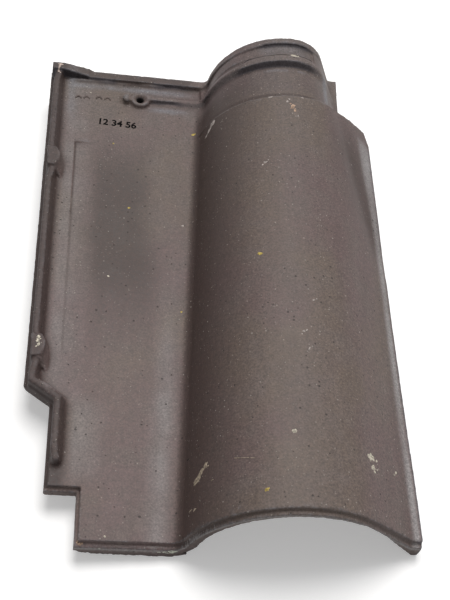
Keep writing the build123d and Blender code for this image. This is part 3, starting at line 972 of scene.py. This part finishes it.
def makeInkedNumbers():
    curve = bpy.data.curves.new("inkedNumbers", "FONT")
    curve.body = inkedNumbers["words"]
    curve.offset = inkedNumbers["boldness"]
    curve.resolution_u = 4
    thing = addObject("inkedNumbersLine", curve)
    mesh = bpy.data.meshes.new_from_object(thing.evaluated_get(bpy.context.evaluated_depsgraph_get()))
    bpy.data.objects.remove(thing)
    points = meshPoints(mesh)
    low, high = points.min(axis=0), points.max(axis=0)
    along = (points[:, 0] - low[0]) / (high[0] - low[0]) * inkedNumbers["width"]
    aside = (points[:, 1] - low[1]) / (high[1] - low[1]) * inkedNumbers["height"]
    turn = math.radians(inkedNumbers["turn"])
    left, bottom = inkedNumbers["corner"]
    x = left + along * math.cos(turn) - aside * math.sin(turn)
    y = bottom + along * math.sin(turn) + aside * math.cos(turn)
    for number in range(len(points)):
        place, normal = surfaceAt(x[number], y[number])
        points[number] = place + normal * inkedNumbers["thickness"]
    setPoints(mesh, points)
    material, bench = newMaterial("stampInk")
    place = bench.add("TexCoord").outputs["Object"]
    uneven = bench.noise(place, 1.1 * mm, 3.0, 0.6)
    tint = bench.mix(bench.ramp(uneven, 0.62, 0.80), inkedNumbers["ink"], inkedNumbers["thinInk"])
    bench.surface(tint, 0.8, bench.bump(uneven, 0.4, 0.1 * mm), 0.04)
    dress(addObject("inkedNumbers", mesh), material)


arches = {
    "places": ((25.2, 415.8), (32.4, 416.1), (43.2, 417.0), (50.7, 416.8)),
    "radius": 2.4,
    "height": 3.0,
    "tube": 1.15,
    "sunk": 0.15,
    "steps": 16,
    "sides": 10,
    "shade": 0.55,      # painted shade on them, through the hollow shade mask
}


def makeArches():
    points, faces = [], []
    steps, sides = arches["steps"], arches["sides"]
    for x, y in arches["places"]:
        first = len(points)
        for step in range(steps + 1):
            angle = math.pi * step / steps
            thick = arches["tube"] * (0.35 + 0.65 * math.sin(angle) ** 0.5) * mm
            outward = Vector((math.cos(angle), math.sin(angle), 0))
            place, normal = surfaceAt(
                x + arches["radius"] * math.cos(angle), y + arches["height"] * math.sin(angle)
            )
            for side in range(sides):
                lean = 2 * math.pi * side / sides
                swing = (tileTurn @ outward) * math.cos(lean) + normal * math.sin(lean)
                points.append(place + swing * thick - normal * arches["sunk"] * mm)
        for step in range(steps):
            for side in range(sides):
                a = first + step * sides + side
                b = first + step * sides + (side + 1) % sides
                faces.append((a, b, b + sides, a + sides))
        faces.append(tuple(range(first + sides - 1, first - 1, -1)))
        faces.append(tuple(range(first + steps * sides, first + (steps + 1) * sides)))
    mesh = bpy.data.meshes.new("arches")
    mesh.from_pydata(points, [], faces)
    mesh.shade_smooth()
    shade = mesh.attributes.new("hollow", "FLOAT", "POINT")
    shade.data.foreach_set("value", np.full(len(points), arches["shade"], np.float32))
    dress(addObject("arches", mesh), engobedClay)


makeInkedNumbers()
makeArches()
print("numbers and arches laid")

# Floor and light
studio = {
    "floorSize": 8.0,
    "floorGap": 0.05 * mm,
    "floorColour": (0.80, 0.80, 0.80),
    "floorGlow": 0.35,          # lifts the floor to white in the picture, but not its shadow
    "ambient": 0.22,
    "lamps": {                  # place, size, power, colour
        "headSoftbox": ((0.22, 0.86, 2.25), 1.7, 55, (1.0, 0.985, 0.97)),
        "rightFill": ((1.5, 0.3, 1.9), 1.2, 6, (0.98, 0.99, 1.0)),
    },
}


def seenDirectly(bench):
    # 1 for the camera and for mirror or clear paths, otherwise 0
    path = bench.add("LightPath")
    seen = bench.math("MAXIMUM", path.outputs["Is Camera Ray"], path.outputs["Is Glossy Ray"])
    return bench.math("MAXIMUM", seen, path.outputs["Is Transmission Ray"])


def makeFloor():
    half = studio["floorSize"] / 2
    mesh = bpy.data.meshes.new("floor")
    corners = [(-half, -half, 0), (half, -half, 0), (half, half, 0), (-half, half, 0)]
    mesh.from_pydata(corners, [], [(0, 1, 2, 3)])
    floor = addObject("floor", mesh)
    floor.location.z = -studio["floorGap"]
    material, bench = newMaterial("paleFloor")
    diffuse = bench.add("BsdfDiffuse", Color=(*studio["floorColour"], 1))
    glow = bench.add("Emission", Strength=bench.times(seenDirectly(bench), studio["floorGlow"]))
    both = bench.tree.nodes.new("ShaderNodeAddShader")
    bench.tree.links.new(diffuse.outputs[0], both.inputs[0])
    bench.tree.links.new(glow.outputs[0], both.inputs[1])
    output = bench.tree.nodes.new("ShaderNodeOutputMaterial")
    bench.tree.links.new(both.outputs[0], output.inputs["Surface"])
    mesh.materials.append(material)


def makeWorld():
    world = bpy.data.worlds.new("studio")
    bpy.context.scene.world = world
    world.use_nodes = True
    bench = NodeBench(world.node_tree)
    strength = bench.ramp(seenDirectly(bench), 0, 1, studio["ambient"], 1.0)
    background = bench.add("Background", Color=(1, 1, 1, 1), Strength=strength)
    output = bench.tree.nodes.new("ShaderNodeOutputWorld")
    bench.tree.links.new(background.outputs[0], output.inputs["Surface"])


def makeLamps():
    for name, (place, size, power, colour) in studio["lamps"].items():
        lamp = bpy.data.lights.new(name, "AREA")
        lamp.shape = "DISK"
        lamp.size = size
        lamp.energy = power
        lamp.color = colour
        thing = addObject(name, lamp)
        thing.location = place
        thing.rotation_euler = (-Vector(place)).to_track_quat("-Z", "Y").to_euler()


makeFloor()
makeWorld()
makeLamps()
print("floor and light ready")

# Camera, placed in the tile's own directions
camera = {
    "place": Vector((24.2, -293.0, 703.7)) * mm,
    "turn": 14.12,
    "down": 53.67,
    "roll": 15.42,
    "focalPixels": 1104.0,
    "frameHeight": 600,
    "nearest": 0.01,
}


def makeCamera():
    turn, down, roll = (math.radians(camera[name]) for name in ("turn", "down", "roll"))
    forward = Vector((math.sin(turn) * math.cos(down), math.cos(turn) * math.cos(down), -math.sin(down)))
    level = forward.cross(Vector((0, 0, 1))).normalized()
    top = level.cross(forward)
    right = math.cos(roll) * level + math.sin(roll) * top
    up = math.cos(roll) * top - math.sin(roll) * level
    pose = Matrix((right, up, -forward)).transposed().to_4x4()
    pose.translation = camera["place"]
    lens = bpy.data.cameras.new("camera")
    lens.lens = camera["focalPixels"] * lens.sensor_width / camera["frameHeight"]
    lens.clip_start = camera["nearest"]
    thing = addObject("camera", lens)
    thing.matrix_world = tileToFloor @ pose
    bpy.context.scene.camera = thing


makeCamera()
bpy.context.scene.view_settings.view_transform = "Standard"
print("camera ready")
